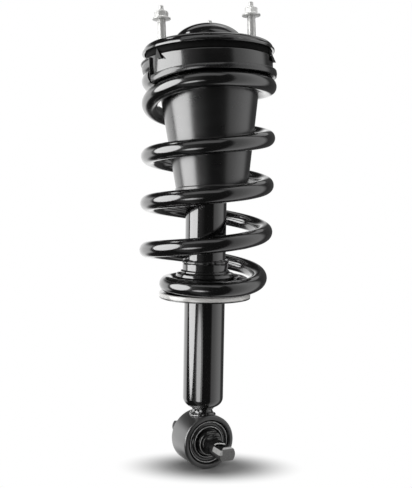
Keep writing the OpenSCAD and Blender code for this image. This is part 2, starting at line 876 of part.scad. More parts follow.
module bar_pin() {
    half = barrel_len / 2;
    neck = 3;
    color("#1c1c1e")
    difference() {
        union() {
            rotate([90, 0, 0])
                rotate_extrude()
                    polygon([
                        [0, -half], [barrel_r - neck, -half], [barrel_r, -half + neck],
                        [barrel_r, half - neck], [barrel_r - neck, half], [0, half]]);
            translate([0, 0, -tongue_drop])
                intersection() {
                    rotate([90, 0, 0])
                        rotate_extrude()
                            polygon([
                                [0, -bar_len / 2], [tongue_d / 2 - chamfer, -bar_len / 2],
                                [tongue_d / 2, -bar_len / 2 + chamfer],
                                [tongue_d / 2, bar_len / 2 - chamfer],
                                [tongue_d / 2 - chamfer, bar_len / 2], [0, bar_len / 2]]);
                    cube([2 * tongue_d, bar_len + 2, tongue_t], center = true);
                }
        }
        for (s = [-1, 1])
            translate([0, s * bolt_spacing / 2, -tongue_drop]) {
                cylinder(d = bolt_hole_d, h = 2 * tongue_t, center = true);
                for (side = [0, 1])
                    mirror([0, 0, side])
                        translate([0, 0, tongue_t / 2 - 1])
                            cylinder(d1 = bolt_hole_d, d2 = bolt_hole_d + 2.4, h = 1.2);
            }
    }
}

mount_plate();
mount_studs();
stud_nuts();
mount_rubber();
mount_housing();
bushing_sleeve();
bushing_rubber();
spring_insulator();
dust_cup();
piston_rod();
bushing_core();
lower_washer();
upper_washer();
rod_nut();
bump_stop();
rebound_stop();
piston();
piston_band();
rebound_discs();
piston_nut();
reserve_tube();
pressure_tube();
base_valve();
rod_guide();
guide_bush();
rod_seal();
striker_cap();
spring_seat();
coil_spring();
eye_stem();
eye_sleeve();
eye_bushing();
bar_pin();
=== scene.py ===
import math

import bmesh
import bpy
from mathutils import Matrix, Vector


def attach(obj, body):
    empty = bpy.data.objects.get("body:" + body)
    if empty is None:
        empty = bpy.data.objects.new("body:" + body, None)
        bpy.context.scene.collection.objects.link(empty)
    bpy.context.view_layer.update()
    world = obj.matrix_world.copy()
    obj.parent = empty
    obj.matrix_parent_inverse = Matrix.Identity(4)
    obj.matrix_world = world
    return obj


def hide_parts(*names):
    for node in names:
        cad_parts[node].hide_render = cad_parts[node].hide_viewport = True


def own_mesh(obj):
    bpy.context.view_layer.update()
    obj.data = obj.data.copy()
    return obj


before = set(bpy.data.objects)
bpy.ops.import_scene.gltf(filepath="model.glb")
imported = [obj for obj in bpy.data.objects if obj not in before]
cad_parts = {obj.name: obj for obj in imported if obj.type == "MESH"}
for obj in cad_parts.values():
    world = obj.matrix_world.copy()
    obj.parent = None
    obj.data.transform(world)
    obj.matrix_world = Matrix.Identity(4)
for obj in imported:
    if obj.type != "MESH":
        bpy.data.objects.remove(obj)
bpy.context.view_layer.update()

# ---------------------------------------------------------------- eye sleeve
# A short length of thick steel tube that lies across the damper and holds the lower
# rubber bushing. It is parted off, deburred, welded to its stem and enamelled black.

mm = 0.001


class Number:
    """One number of a finish, so that shader maths is written as plain arithmetic."""

    def __init__(self, finish, socket):
        self.finish, self.socket = finish, socket

    def __add__(self, other):
        return self.finish.math("ADD", self, other)

    def __radd__(self, other):
        return self.finish.math("ADD", other, self)

    def __sub__(self, other):
        return self.finish.math("SUBTRACT", self, other)

    def __rsub__(self, other):
        return self.finish.math("SUBTRACT", other, self)

    def __mul__(self, other):
        return self.finish.math("MULTIPLY", self, other)

    def __rmul__(self, other):
        return self.finish.math("MULTIPLY", other, self)

    def __neg__(self):
        return self.finish.math("SUBTRACT", 0, self)

    def away(self):
        """The number without its sign."""
        return self.finish.math("ABSOLUTE", self)

    def between(self, low, high):
        """0 below low, 1 above high, and a smooth step from one to the other."""
        return self.finish.node("MapRange", 0, {"interpolation_type": "SMOOTHSTEP"},
                                {"Value": self, "From Min": low, "From Max": high})

    def past(self, start, fade):
        """0 up to start millimetres, and 1 from fade millimetres further on."""
        return self.between(start * mm, (start + fade) * mm)

    def band(self, start, end, fade):
        """1 from start to end millimetres, with both edges faded inwards."""
        return self.past(start, fade) * (1 - self.past(end - fade, fade))


class Finish:
    """A procedural finish: constants go on the Principled shader's own sockets."""

    def __init__(self, name, constants):
        self.material = bpy.data.materials.new(name)
        self.material.use_nodes = True
        self.tree = self.material.node_tree
        self.shader = self.tree.nodes["Principled BSDF"]
        self.wear(constants)
        self.place = self.node("TexCoord", "Object")

    def node(self, kind, output=0, settings=None, sockets=None):
        """Adds a node with its settings and inputs, and gives back one of its outputs."""
        made = self.tree.nodes.new("ShaderNode" + kind)
        for key, value in (settings or {}).items():
            if key == "stops":
                for i, (position, colour) in enumerate(value):
                    stop = made.color_ramp.elements[i] if i < 2 else made.color_ramp.elements.new(1)
                    stop.position, stop.color = position, (*colour, 1)
            else:
                setattr(made, key, value)
        for key, value in (sockets or {}).items():
            self.feed(made.inputs[key], value)
        return Number(self, made.outputs[output])

    def feed(self, socket, value):
        """Links a number to a socket, or sets the socket to a constant."""
        if isinstance(value, Number):
            self.tree.links.new(value.socket, socket)
        else:
            socket.default_value = value

    def wear(self, sockets):
        """Feeds the Principled shader's sockets by name."""
        for name, value in sockets.items():
            self.feed(self.shader.inputs[name], value)

    def math(self, operation, first, second=0.0):
        return self.node("Math", 0, {"operation": operation}, {0: first, 1: second})

    def vector(self, operation, output, first, second=(0, 0, 0)):
        return self.node("VectorMath", output, {"operation": operation}, {0: first, 1: second})

    def axis(self, name):
        """How far a point lies along X, Y or Z, in metres."""
        return self.node("SeparateXYZ", name, {}, {0: self.place})

    def along(self, level):
        """How far a point lies along a level direction."""
        return self.vector("DOT_PRODUCT", "Value", self.place, (*level, 0))

    def reach(self, *axes):
        """Distance from the origin over the axes given as 1, without those given as 0."""
        return self.vector("LENGTH", "Value", self.vector("MULTIPLY", 0, self.place, axes))

    def noise(self, size, detail=2.0, stretch=(1, 1, 1)):
        """Noise in blotches of about size millimetres, drawn out along an axis by stretch."""
        place = self.vector("MULTIPLY", 0, self.place, [1 / (size * mm * s) for s in stretch])
        return self.node("TexNoise", 0, {}, {"Vector": place, "Scale": 1, "Detail": detail})

    def tint(self, amount, dark, light):
        """Colour that goes from dark to light with a number from 0 to 1."""
        return self.node("ValToRGB", 0, {"stops": [(0.25, dark), (0.75, light)]}, {"Fac": amount})

    def mix(self, amount, first, second):
        """One colour where amount is 0 and another where it is 1."""
        return self.node("Mix", 2, {"data_type": "RGBA"}, {0: amount, 6: first, 7: second})

    def bump(self, height, depth):
        """Normal of a surface whose relief is depth millimetres high."""
        return self.node("Bump", 0, {}, {"Height": height, "Distance": depth * mm, "Strength": 1})


def grey(level):
    """Neutral colour of a level from 0 to 1."""
    return (level,) * 3


gloss = {"IOR": 1.7, "Specular IOR Level": 1.0, "Coat IOR": 1.8, "Coat Roughness": 0.05}


def enamel(name, rough=0.1, orange_peel=0.004, coat=1.0, shade=0.003):
    """Gloss paint on steel: even film, fine orange peel, and a faint haze in patches."""
    paint = Finish(name, gloss | {"Coat Weight": coat})
    peel = paint.noise(1.6, 1.0)
    haze = paint.noise(22, 3.0)
    paint.wear({
        "Base Color": paint.tint(haze, grey(0.7 * shade), grey(1.4 * shade)),
        "Roughness": rough + 0.07 * haze + 0.03 * peel,
        "Normal": paint.bump(peel, orange_peel),
    })
    return paint


def rounded(corners):
    """Outline in metres from (radius, height, fillet) corners in millimetres."""
    path = []
    for i, (radius, height, fillet) in enumerate(corners):
        here = Vector((radius, height)) * mm
        if not fillet:
            path.append(here)
            continue
        back = (Vector(corners[i - 1][:2]) * mm - here).normalized()
        on = (Vector(corners[(i + 1) % len(corners)][:2]) * mm - here).normalized()
        half = back.angle(on) / 2
        centre = here + (back + on).normalized() * fillet * mm / math.sin(half)
        start = here + back * fillet * mm / math.tan(half)
        end = here + on * fillet * mm / math.tan(half)
        steps = 4 + int(fillet)
        for k in range(steps + 1):
            spoke = start.lerp(end, k / steps) - centre
            path.append(centre + spoke.normalized() * fillet * mm)
    return path


def mended():
    """In edit mode, merges doubled points and turns the faces outwards."""
    bpy.ops.mesh.select_all(action="SELECT")
    bpy.ops.mesh.remove_doubles(threshold=0.002 * mm)
    bpy.ops.mesh.normals_make_consistent(inside=False)


def turned(name, outline, steps=144, turn=360):
    """Draws an outline point by point in the XZ plane and spins it round Z to a closed solid."""
    bpy.ops.object.select_all(action="DESELECT")
    bpy.ops.mesh.primitive_plane_add(size=mm)
    piece = bpy.context.object
    piece.name = piece.data.name = name
    bpy.ops.object.mode_set(mode="EDIT")
    bpy.ops.mesh.select_all(action="SELECT")
    bpy.ops.mesh.merge(type="CENTER")
    bpy.ops.transform.translate(value=(outline[0].x, 0, outline[0].y))
    for before, after in zip(outline, outline[1:]):
        step = after - before
        bpy.ops.mesh.extrude_region_move(TRANSFORM_OT_translate={"value": (step.x, 0, step.y)})
    if max(outline[0].x, outline[-1].x) > 0:
        drawn = bmesh.from_edit_mesh(piece.data)
        drawn.verts.ensure_lookup_table()
        bpy.ops.mesh.select_all(action="DESELECT")
        drawn.verts[0].select = drawn.verts[-1].select = True
        bpy.ops.mesh.edge_face_add()
    bpy.ops.mesh.select_all(action="SELECT")
    bpy.ops.mesh.spin(steps=steps, angle=math.radians(turn), center=(0, 0, 0), axis=(0, 0, 1))
    mended()
    if turn < 360:
        bpy.ops.mesh.select_all(action="DESELECT")
        bpy.ops.mesh.select_non_manifold()
        bpy.ops.mesh.fill_holes(sides=0)
        mended()
    bpy.ops.object.mode_set(mode="OBJECT")
    return piece


def only(piece):
    """Selects one piece and makes it the active one."""
    bpy.ops.object.select_all(action="DESELECT")
    piece.select_set(True)
    bpy.context.view_layer.objects.active = piece


def placed(piece, matrix):
    """Moves a piece and keeps its object at the origin."""
    only(piece)
    piece.matrix_world = matrix
    bpy.ops.object.transform_apply(location=True, rotation=True, scale=True)
    return piece


def coated(piece, finish):
    """Gives a piece one finish all over."""
    piece.data.materials.clear()
    piece.data.materials.append(finish.material)


def fitted(piece, body, finish, nodes=(), sharp=32):
    """Smooths a piece, finishes it, and sets it on its body in place of its solids."""
    only(piece)
    bpy.ops.object.shade_smooth_by_angle(angle=math.radians(sharp))
    coated(piece, finish)
    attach(piece, body)
    if nodes:
        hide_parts(*nodes)


ALONG_Y = Matrix.Rotation(math.radians(90), 4, "X")
eye_r = 34.74
eye_in = 28.75
eye_half = 20.75
sleeve_paint = enamel("sleeve_enamel", rough=0.25, orange_peel=0.008, shade=0.012)
sleeve_paint.wear({"Coat Roughness": 0.28})
eye_sleeve = placed(turned("eye_tube", rounded([
    (eye_in, -eye_half, 1.4), (eye_r, -eye_half, 2.4), (eye_r, eye_half, 2.4),
    (eye_in, eye_half, 1.4)])), ALONG_Y)
fitted(eye_sleeve, "damper", sleeve_paint, ["eye_sleeve"])

# ---------------------------------------------------------------- eye bushing
# Black rubber moulded between the sleeve and the bar pin's barrel. Its faces carry
# raised rings, which let it flex. A pale painted highlight is painted on the rings' tops.

bond_gap = 0.02
barrel_gap = 0.1
barrel_r = 16
rubber_half = 19.2
rubber_out = eye_in - bond_gap
ring_count = 2
ring_depth = 3
ring_start = 0.42
ring_points = 10
ring_width = (rubber_out - barrel_r - barrel_gap) / ring_count

rubber = Finish("moulded_rubber", gloss | {"Coat Weight": 0.6})
bloom = rubber.noise(9, 3.0)
# Painted highlight: the rings' tops are coloured pale grey in place of the light they catch.
ring_top_highlight = rubber.axis("Y").away().past(rubber_half - 0.9, 0.7)
rubber.wear({
    "Base Color": rubber.mix(ring_top_highlight, rubber.tint(bloom, grey(0.003), grey(0.008)),
                             rubber.tint(bloom, grey(0.35), grey(0.65))),
    "Roughness": 0.1 + 0.16 * bloom,
    "Normal": rubber.bump(rubber.noise(0.5, 2.0), 0.008),
})

face = []
for k in range(ring_count * ring_points + 1):
    part = k / ring_points
    wave = 0.5 + 0.5 * math.cos(math.tau * (part - ring_start))
    face.append((rubber_out - part * ring_width,
                 rubber_half - ring_depth + ring_depth * wave ** 2))
eye_bushing = placed(turned("eye_rubber", [
    Vector((r, z)) * mm for r, z in face + [(r, -z) for r, z in reversed(face)]]), ALONG_Y)
fitted(eye_bushing, "damper", rubber, ["eye_bushing"], sharp=50)

# ---------------------------------------------------------------- bar pin
# A forged bar through the bushing: a round barrel in the rubber, and a flat pressed
# tongue at each end with a bolt hole. It is phosphated black. Pale painted highlights
# are painted on the tongues' top corners, on one side of the near tongue, on one side of
# each hole's rim and on the barrel's faces, and the end faces are a little lighter.

bar_half = 69.5
barrel_half = 25
tongue_r = 11
tongue_t = 15
tongue_drop = 1.9
bolt_y = 50.5
bolt_r = 6.5
bolt_chamfer = 1.2
end_land = 7

coat_black = Finish("black_phosphate", {"Specular IOR Level": 0.4})
mottle = coat_black.noise(2.4, 4.0)
crystal = coat_black.noise(0.35, 2.0)
across, along, above = (coat_black.axis(name) for name in "XYZ")
off = along.away()
past_hole = off - bolt_y * mm
from_hole = across * across + past_hole * past_hole
from_axis = coat_black.reach(1, 0, 1)
streaks = coat_black.noise(0.9, 2.0, stretch=(14, 1, 1)).between(0.45, 0.6)

# Painted highlights, placed by where they lie on the pin: the tongues' top corners, the near tongue's
# left side, one side of each hole's rim, and streaks and crests on the barrel's faces.
corner_highlight = (off.past(bar_half - end_land, 0.6) * above.past(tongue_t / 2 - tongue_drop - 0.15, 0.05)
              * (across + off * 0.7).past(41, 1))
end_face = off.past(bar_half - 0.3, 0.1)
flank_highlight = (-along).past(50, 0.5) * (-across).past(6.8, 0.4) * above.band(-1.8, 4.7, 0.5)
hole_rim_highlight = (from_hole.between(((bolt_r - 0.2) * mm) ** 2, (bolt_r * mm) ** 2)
            * (1 - from_hole.between(((bolt_r + 1.1) * mm) ** 2, ((bolt_r + 1.4) * mm) ** 2))
            * above.past(4, 0.5) * (1 - past_hole.past(-2, 3)))
barrel_face = off.band(barrel_half - 1, barrel_half + 0.5, 0.3)
face_streak_highlight = above.past(-1, 5) * across.past(-8, 5) * streaks
face_crest_highlight = ((from_axis.band(10.4, 11.7, 0.4) + from_axis.band(14.6, 15.9, 0.4))
               * (-across - above).past(-4, 12))
# The painted highlights and the slightly lighter end faces together, coloured as pale metal.
painted_highlight_and_pale_ends = coat_black.math("MINIMUM", 1, (
    corner_highlight + 0.6 * flank_highlight + hole_rim_highlight + 0.25 * end_face
    + barrel_face * (0.25 * face_streak_highlight + 0.7 * face_crest_highlight)))
coat_black.wear({
    "Base Color": coat_black.mix(painted_highlight_and_pale_ends, coat_black.tint(mottle, grey(0.004), grey(0.012)),
                                 coat_black.tint(mottle, (0.5, 0.5, 0.49), (0.75, 0.75, 0.74))),
    "Metallic": 0.3 * painted_highlight_and_pale_ends,
    "Roughness": 0.16 + 0.12 * mottle + 0.14 * painted_highlight_and_pale_ends,
    "Normal": coat_black.bump(crystal + mottle, 0.012),
})


def cut(piece, cutter, operation="DIFFERENCE"):
    """Boolean of two closed pieces, applied, after which the cutter is deleted."""
    only(piece)
    tool = piece.modifiers.new("cut", "BOOLEAN")
    tool.operation, tool.object, tool.solver = operation, cutter, "EXACT"
    bpy.ops.object.modifier_apply(modifier=tool.name)
    bpy.data.objects.remove(cutter)


def bevelled(piece, width, segments=3):
    """Rounds a piece's sharp edges."""
    only(piece)
    edge = piece.modifiers.new("edge", "BEVEL")
    edge.width, edge.segments, edge.limit_method = width * mm, segments, "ANGLE"
    edge.angle_limit = math.radians(35)
    bpy.ops.object.modifier_apply(modifier=edge.name)


bar = placed(turned("pressed_bar", rounded([
    (0, -bar_half, 0), (tongue_r, -bar_half, 0.8), (tongue_r, bar_half, 0.8),
    (0, bar_half, 0)]), steps=96), ALONG_Y)
only(bar)
bpy.ops.object.mode_set(mode="EDIT")
for side in (1, -1):
    bpy.ops.mesh.select_all(action="SELECT")
    bpy.ops.mesh.bisect(plane_co=(0, 0, side * tongue_t / 2 * mm), plane_no=(0, 0, side),
                        use_fill=True, clear_outer=True)
bpy.ops.object.mode_set(mode="OBJECT")


def both_ways(half):
    """Half of an outline, from one end to the middle, and the same again mirrored."""
    return half + [(r, -z, fillet) for r, z, fillet in reversed(half)]


bolt_side = [(0, -tongue_t, 0), (bolt_r + 6, -tongue_t, 0),
             (bolt_r + bolt_chamfer, -tongue_t / 2 - 0.2, 0), (bolt_r, -tongue_t / 2 + 1, 0)]
for y in (-bolt_y, bolt_y):
    hole = turned("hole", rounded(both_ways(bolt_side)), steps=64)
    cut(bar, placed(hole, Matrix.Translation((0, y * mm, 0))))
placed(bar, Matrix.Translation((0, 0, -tongue_drop * mm)))
barrel_skin = barrel_r - 0.05
barrel_side = [(0, barrel_half, 0), (9.6, barrel_half, 0.3), (10.2, barrel_half - 0.7, 0.2),
               (10.8, barrel_half - 0.1, 0.3), (barrel_skin, barrel_half - 0.3, 1),
               (barrel_skin, barrel_half - 2.5, 0.3), (barrel_r - 0.5, barrel_half - 3, 0),
               (barrel_skin, barrel_half - 3.5, 0)]
cut(bar, placed(turned("barrel", rounded(both_ways(barrel_side)), steps=96), ALONG_Y), "UNION")
bevelled(bar, 0.5)
fitted(bar, "bar", coat_black, ["bar_pin"])

# ---------------------------------------------------------------- weld stem
# A short forged stem between the tube's closed end and the sleeve, with a lumpy weld
# bead run round each end. The whole neck is painted after welding.

stem_r = 12.6
stem_foot_r = 15.2
stem_low = 30
stem_top = 43.5
lower_bead_r = 14.6
upper_bead_r = 13.2
ripple = 0.16
swell_angle = 3.04
weld_paint = enamel("weld_enamel", rough=0.08, orange_peel=0.012)


def bead(name, radius, thickness, height, ripples, swell):
    """Weld bead round Z: a torus whose section swells and sinks with each puddle."""
    bpy.ops.object.select_all(action="DESELECT")
    bpy.ops.mesh.primitive_torus_add(major_radius=radius * mm, minor_radius=thickness * mm,
                                     major_segments=168, minor_segments=14)
    ring = bpy.context.object
    ring.name = ring.data.name = name
    for point in ring.data.vertices:
        a = math.atan2(point.co.y, point.co.x)
        core = Vector((math.cos(a), math.sin(a), 0)) * radius * mm
        puddle = (1 + ripple * abs(math.sin(ripples * a / 2))
                  + swell * math.cos(3 * a - swell_angle) ** 3)
        point.co = core + (point.co - core) * puddle
        point.co.z += height(a) * mm
    return ring


def on_sleeve(a):
    """Height of the lower bead, which runs over the round of the sleeve."""
    return math.sqrt(eye_r ** 2 - (lower_bead_r * math.cos(a)) ** 2) + 0.4


stem = turned("stem_core", rounded([
    (0, stem_low, 0), (stem_foot_r, stem_low, 0), (stem_foot_r, stem_low + 3.5, 1.2),
    (stem_r, stem_low + 7, 2.5), (stem_r, stem_top - 3, 1.5), (14, stem_top, 0),
    (0, stem_top, 0)]), steps=96)
cut(stem, bead("lower_bead", lower_bead_r, 2.1, on_sleeve, 15, 0.25), "UNION")
cut(stem, bead("upper_bead", upper_bead_r, 1.7, lambda a: stem_top - 1.2, 13, 0.2), "UNION")
fitted(stem, "damper", weld_paint, ["eye_stem"], sharp=60)

# ---------------------------------------------------------------- reserve tube
# Drawn steel tube, 52 mm across, closed with a rounded end below and rolled over the
# rod guide above. It is the part of the damper that shows, and is enamelled in gloss.

tube_r = 26
tube_wall = 2
tube_end_t = 3
tube_low = 43
tube_top = 342
rolled_r = 20
tube_paint = enamel("tube_enamel", rough=0.07, orange_peel=0.003)
reserve_tube = turned("damper_tube", rounded([
    (0, tube_low, 0), (tube_r, tube_low, 12), (tube_r, tube_top, 1.5), (rolled_r, tube_top, 0.6),
    (rolled_r, tube_top - tube_end_t, 0.5), (tube_r - tube_wall, tube_top - tube_end_t, 0.5),
    (tube_r - tube_wall, tube_low + tube_end_t, 9), (0, tube_low + tube_end_t, 0)]))
fitted(reserve_tube, "damper", tube_paint, ["reserve_tube"])

# ---------------------------------------------------------------- lower spring seat
# A stamped dish pressed and welded on the tube: a neck, a hub that centres the spring's
# last turn, a flat seat and a turned-down rim. The rim's outer edge is left bright.

seat_z = 192
seat_r = 58.5
seat_t = 3
neck_r = tube_r + seat_t
neck_h = 38
hub_r = 37.5
ledge_r = 31.4

seat_paint = enamel("seat_enamel", rough=0.1)
bright_edge = (seat_paint.reach(1, 1, 0).past(seat_r - 1.9, 0.3)
               * seat_paint.axis("Z").past(seat_z - 5.6, 0.3))
brushed = seat_paint.noise(3, 3.0, stretch=(1, 1, 0.12))
seat_paint.wear({
    "Base Color": seat_paint.mix(
        bright_edge, seat_paint.tint(brushed, grey(0.002), grey(0.004)),
        seat_paint.tint(brushed, (0.62, 0.61, 0.59), (0.84, 0.83, 0.81))),
    "Roughness": 0.12 + 0.22 * bright_edge + 0.05 * brushed,
})
seat_corners = [
    (tube_r, neck_h, 0.6), (neck_r, neck_h, 1.2), (neck_r, 28.6, 0.6), (ledge_r, 27.6, 0.9),
    (ledge_r, 25.6, 0.7), (36.2, 24.6, 1.3), (hub_r, 21, 1.5), (hub_r, 0, 1), (seat_r, 0, 1.6),
    (seat_r, -5.3, 0.3), (seat_r - 0.7, -5.5, 0.2), (seat_r - 0.7, -6, 0.2),
    (seat_r - 0.1, -6.2, 0.3), (seat_r - 0.1, -7.2, 0.4), (seat_r - seat_t, -7.2, 0.8),
    (seat_r - seat_t, -seat_t, 1), (hub_r - seat_t, -seat_t, 1), (hub_r - seat_t, 19.5, 1.5),
    (tube_r, 22.5, 0.3)]
spring_seat = turned("stamped_seat", rounded([
    (r, seat_z + height, fillet) for r, height, fillet in seat_corners]), steps=168)
fitted(spring_seat, "damper", seat_paint, ["spring_seat"])
seat_weld = bead("seat_weld", tube_r + 1.1, 2.7, lambda a: seat_z + neck_h + 1, 19, 0.3)
fitted(seat_weld, "damper", weld_paint, sharp=60)

# ---------------------------------------------------------------- coil spring
# Hot-wound 20.5 mm bar, coated in black powder. The full turns hang under the mount,
# and the last one draws in and closes on the lower seat, where the bar is cut off.

pivot_z = 480
lean = math.radians(5.5)
plate_rise = 15.2
wire_r = 10.25
coil_r = 74.25
foot_r = 48.3
head_z = -46.6
closed_pitch = 20
free_pitch = 59.1
foot_z = seat_z + wire_r + 0.2
free_top = 173.7
head_turns = 0.578
body_turns = 5
first_angle = -27
leave_from, leave_over = 0.24, 0.38
draw_from, draw_over = 3.8, 0.7
settle_from, settle_over = 3.9, 0.35
sway = 1.45
powder = enamel("spring_powder", rough=0.12, orange_peel=0.007)


def smooth(value):
    """0 below 0, 1 above 1, and a smooth step from one to the other."""
    u = min(1, max(0, value))
    return u * u * (3 - 2 * u)


def wire_point(turn):
    """Centre of the wire, in millimetres, so many turns down from its first angle.

    It leaves the mount's ramp, runs free, draws in, and settles on the seat.
    """
    a = math.radians(first_angle - 360 * turn)
    head = head_z + plate_rise + max(0, -turn) * closed_pitch
    y = coil_r * math.sin(a)
    under_mount = Vector((coil_r * math.cos(a), y * math.cos(lean) + head * math.sin(lean),
                          pivot_z - y * math.sin(lean) + head * math.cos(lean)))
    drawn_in = smooth((turn - draw_from) / draw_over)
    r = coil_r * (1 - drawn_in) + foot_r * drawn_in
    settled = smooth((turn - settle_from) / settle_over)
    free = foot_z + free_top - free_pitch * (turn - 1.25) - sway * math.cos(math.tau * turn)
    shift = (plate_rise + head_z) * math.sin(lean) * (1 - min(1, max(0, turn / settle_from)))
    on_damper = Vector((r * math.cos(a), r * math.sin(a) + shift,
                        free * (1 - settled) + foot_z * settled))
    return under_mount.lerp(on_damper, smooth((turn - leave_from) / leave_over))


def rod_along(name, points, radius, roundness):
    """Round bar of a radius along a row of points, all in millimetres."""
    line = bpy.data.curves.new(name, "CURVE")
    line.dimensions = "3D"
    line.bevel_depth, line.bevel_resolution, line.use_fill_caps = radius * mm, roundness, True
    route = line.splines.new("POLY")
    route.points.add(len(points) - 1)
    for spot, point in zip(route.points, points):
        spot.co = (*(point * mm), 1)
    drawn = bpy.data.objects.new(name, line)
    bpy.context.scene.collection.objects.link(drawn)
    only(drawn)
    bpy.ops.object.convert(target="MESH")
    drawn = bpy.context.object
    bpy.ops.object.mode_set(mode="EDIT")
    mended()
    bpy.ops.object.mode_set(mode="OBJECT")
    return drawn


turns = head_turns + body_turns
steps_a_turn = 84
wire_steps = int(turns * steps_a_turn)
spring = rod_along("wound_spring", [wire_point(-head_turns + turns * k / wire_steps)
                                    for k in range(wire_steps + 1)], wire_r - 0.02, 10)
fitted(spring, "damper", powder, ["coil_spring"], sharp=40)
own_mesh(spring)

# ---------------------------------------------------------------- dust cup
# A tapered tube of black plastic, injection moulded with a small bead at its open end.
# It hangs from the mount and shields the rod and the top of the damper.

MOUNT = (Matrix.Translation((0, 0, pivot_z * mm)) @ Matrix.Rotation(-lean, 4, "X")
         @ Matrix.Translation((0, 0, plate_rise * mm)))
cup_hole_r = 40
cup_r = 62.8
cup_in = 61.2
cup_top = -20.1
cup_t = 2
cup_shoulder = -46
cup_bead_r = 46.1
cup_end_in = 43.7
cup_end = -174


def moulded(name, coat, coat_rough, blotch, grain, dark, light, rough, spread):
    """Skin of a moulded part: blotches vary its colour and gloss over a fine grain."""
    skin = Finish(name, gloss | {"Coat Weight": coat, "Coat Roughness": coat_rough})
    sheen = skin.noise(*blotch)
    skin.wear({
        "Base Color": skin.tint(sheen, dark, light),
        "Roughness": rough + spread * sheen,
        "Normal": skin.bump(skin.noise(grain, 2.0), 0.006),
    })
    return skin


plastic = moulded("moulded_plastic", 0.8, 0.22, (30, 3.0, (1, 1, 0.35)), 0.7,
                  (0.0025, 0.0025, 0.0027), (0.005, 0.005, 0.0054), 0.24, 0.1)
dust_cup = placed(turned("moulded_cup", rounded([
    (cup_hole_r, cup_top, 0.5), (cup_r, cup_top, 3), (cup_r, cup_shoulder, 20),
    (cup_bead_r - 0.8, cup_end + 4.5, 0.5), (cup_bead_r, cup_end + 3, 0.4),
    (cup_bead_r, cup_end, 0.5), (cup_end_in, cup_end, 0.4), (cup_end_in, cup_end + 4.5, 0.3),
    (cup_in, cup_shoulder, 18), (cup_in, cup_top - cup_t, 1.5),
    (cup_hole_r, cup_top - cup_t, 0.5)])), MOUNT)
fitted(dust_cup, "mount", plastic, ["dust_cup"])

# ---------------------------------------------------------------- upper insulator
# A rubber ring between spring and mount. Its underside is a ramp along the top turn,
# the wire's end butts on the step, and a lip climbs round the housing's band.

step_at = -175
step_gap = 2
band_r = 80.5
band_in = 78
lip_r = 85.3
ring_in = 64.8
floor_under = 20
lip_rise = [(0, 9.4), (58, 6), (148, 9.5), (360, 11.4)]
lip_code, floor_code = 10, 40
soft_black = moulded("insulator_rubber", 0.6, 0.12, (14, 3.0), 0.6,
                     (0.0035, 0.0035, 0.0037), (0.007, 0.007, 0.0075), 0.2, 0.12)


def ramp_z(past):
    """Height of the ramp over the wire, in the mount, at degrees past the step."""
    x, y, z = wire_point((first_angle - step_at - min(past, 360 - step_gap)) / 360)
    return y * math.sin(lean) + (z - pivot_z) * math.cos(lean) - plate_rise + wire_r + 0.5


def lip_z(past):
    """Height of the lip's upper edge at degrees past the step."""
    for (a, low), (b, high) in zip(lip_rise, lip_rise[1:]):
        if past <= b:
            return ramp_z(past) + low + (high - low) * (past - a) / (b - a)


def lip_recess(past):
    """How far the lip's face is set in behind its edge bead, near the step."""
    return 1.3 * smooth((past - 296) / 12) + 1.3 * smooth((past - 335) / 20)


def past_step(point):
    """Degrees from the step, round the mount's axis, to a point of a mesh."""
    return (math.degrees(math.atan2(point.co.y, point.co.x)) - step_at) % 360


def follow(piece, heights):
    """Moves each point from the code it was drawn at to the height that its angle calls for."""
    for point in piece.data.vertices:
        point.co.z = heights(past_step(point), point.co.z / mm) * mm


def insulator_height(past, code):
    """Code 0 is the ramp, lip_code the lip's edge and floor_code the housing's floor."""
    past = min(past, 360 - step_gap) if past < 359.5 else 0
    low, high = ramp_z(past), lip_z(past)
    if code > floor_code - 1:
        return -floor_under - 0.05
    return low + (high - low) * code / lip_code


def widened(point, share):
    """Moves a point out from the Z axis, or in where share is under 1."""
    point.co.x, point.co.y = point.co.x * share, point.co.y * share


def on_lip(past, height):
    """Centre of the edge bead, on the lip's face."""
    a = math.radians(step_at + past)
    r = lip_r - lip_recess(past) + 0.15
    return Vector((r * math.cos(a), r * math.sin(a), height))


insulator = turned("ramped_insulator", rounded([
    (ring_in, 0, 1), (ring_in, floor_code, 0), (band_in - 0.3, floor_code, 0), (band_in - 0.3, 2, 0),
    (band_r + 0.25, 2, 0), (band_r + 0.25, lip_code, 0.8), (lip_r - 0.6, lip_code, 1.5),
    (lip_r, lip_code / 2, 6), (lip_r - 1, 0, 1.5)]), steps=180, turn=360 - step_gap)
placed(insulator, Matrix.Rotation(math.radians(step_at), 4, "Z"))
follow(insulator, insulator_height)
for point in insulator.data.vertices:
    past, r = past_step(point), math.hypot(point.co.x, point.co.y) / mm
    if r > band_r + 1 and past < 359:
        widened(point, 1 - lip_recess(past) / r)
placed(insulator, MOUNT)
lip_edge = [on_lip(past, lip_z(past) - 0.7) for past in range(300, 358, 2)]
lip_edge += [on_lip(358.1, z) for z in (lip_z(358) - 1.2, lip_z(358) - 5, ramp_z(358) + 0.9)]
cut(insulator, placed(rod_along("lip_bead", lip_edge, 0.95, 3), MOUNT), "UNION")
fitted(insulator, "mount", soft_black, ["spring_insulator"], sharp=45)

# ---------------------------------------------------------------- mount housing
# A deep-drawn steel cup: a plain band outside, a floor, and a collar round the bushing.
# Three lugs are lanced out of the band to hold the plate. It is enamelled black.

band_top = -10.5
floor_top = -17.5
collar_r = 36.55
collar_end = -27
band_code = -60
edge_over_ramp = 2.4
# Each corner of a lug: degrees round the mount, millimetres proud of the band, and height.
lug_corners = [(192.5, 2.5, -17.5), (203.2, -0.2, -18.3), (201.3, 4.5, -19), (192.3, -0.2, -4)]
housing_paint = enamel("housing_enamel", rough=0.16, orange_peel=0.006, coat=0.8)


def housing_height(past, code):
    """Heights near band_code are the band's lower edge, which clears the insulator's ramp."""
    if code > band_code + 2:
        return code
    highest = max(ramp_z(a % 360) for a in (past - 2, past, past + 2))
    return highest + edge_over_ramp + code - band_code


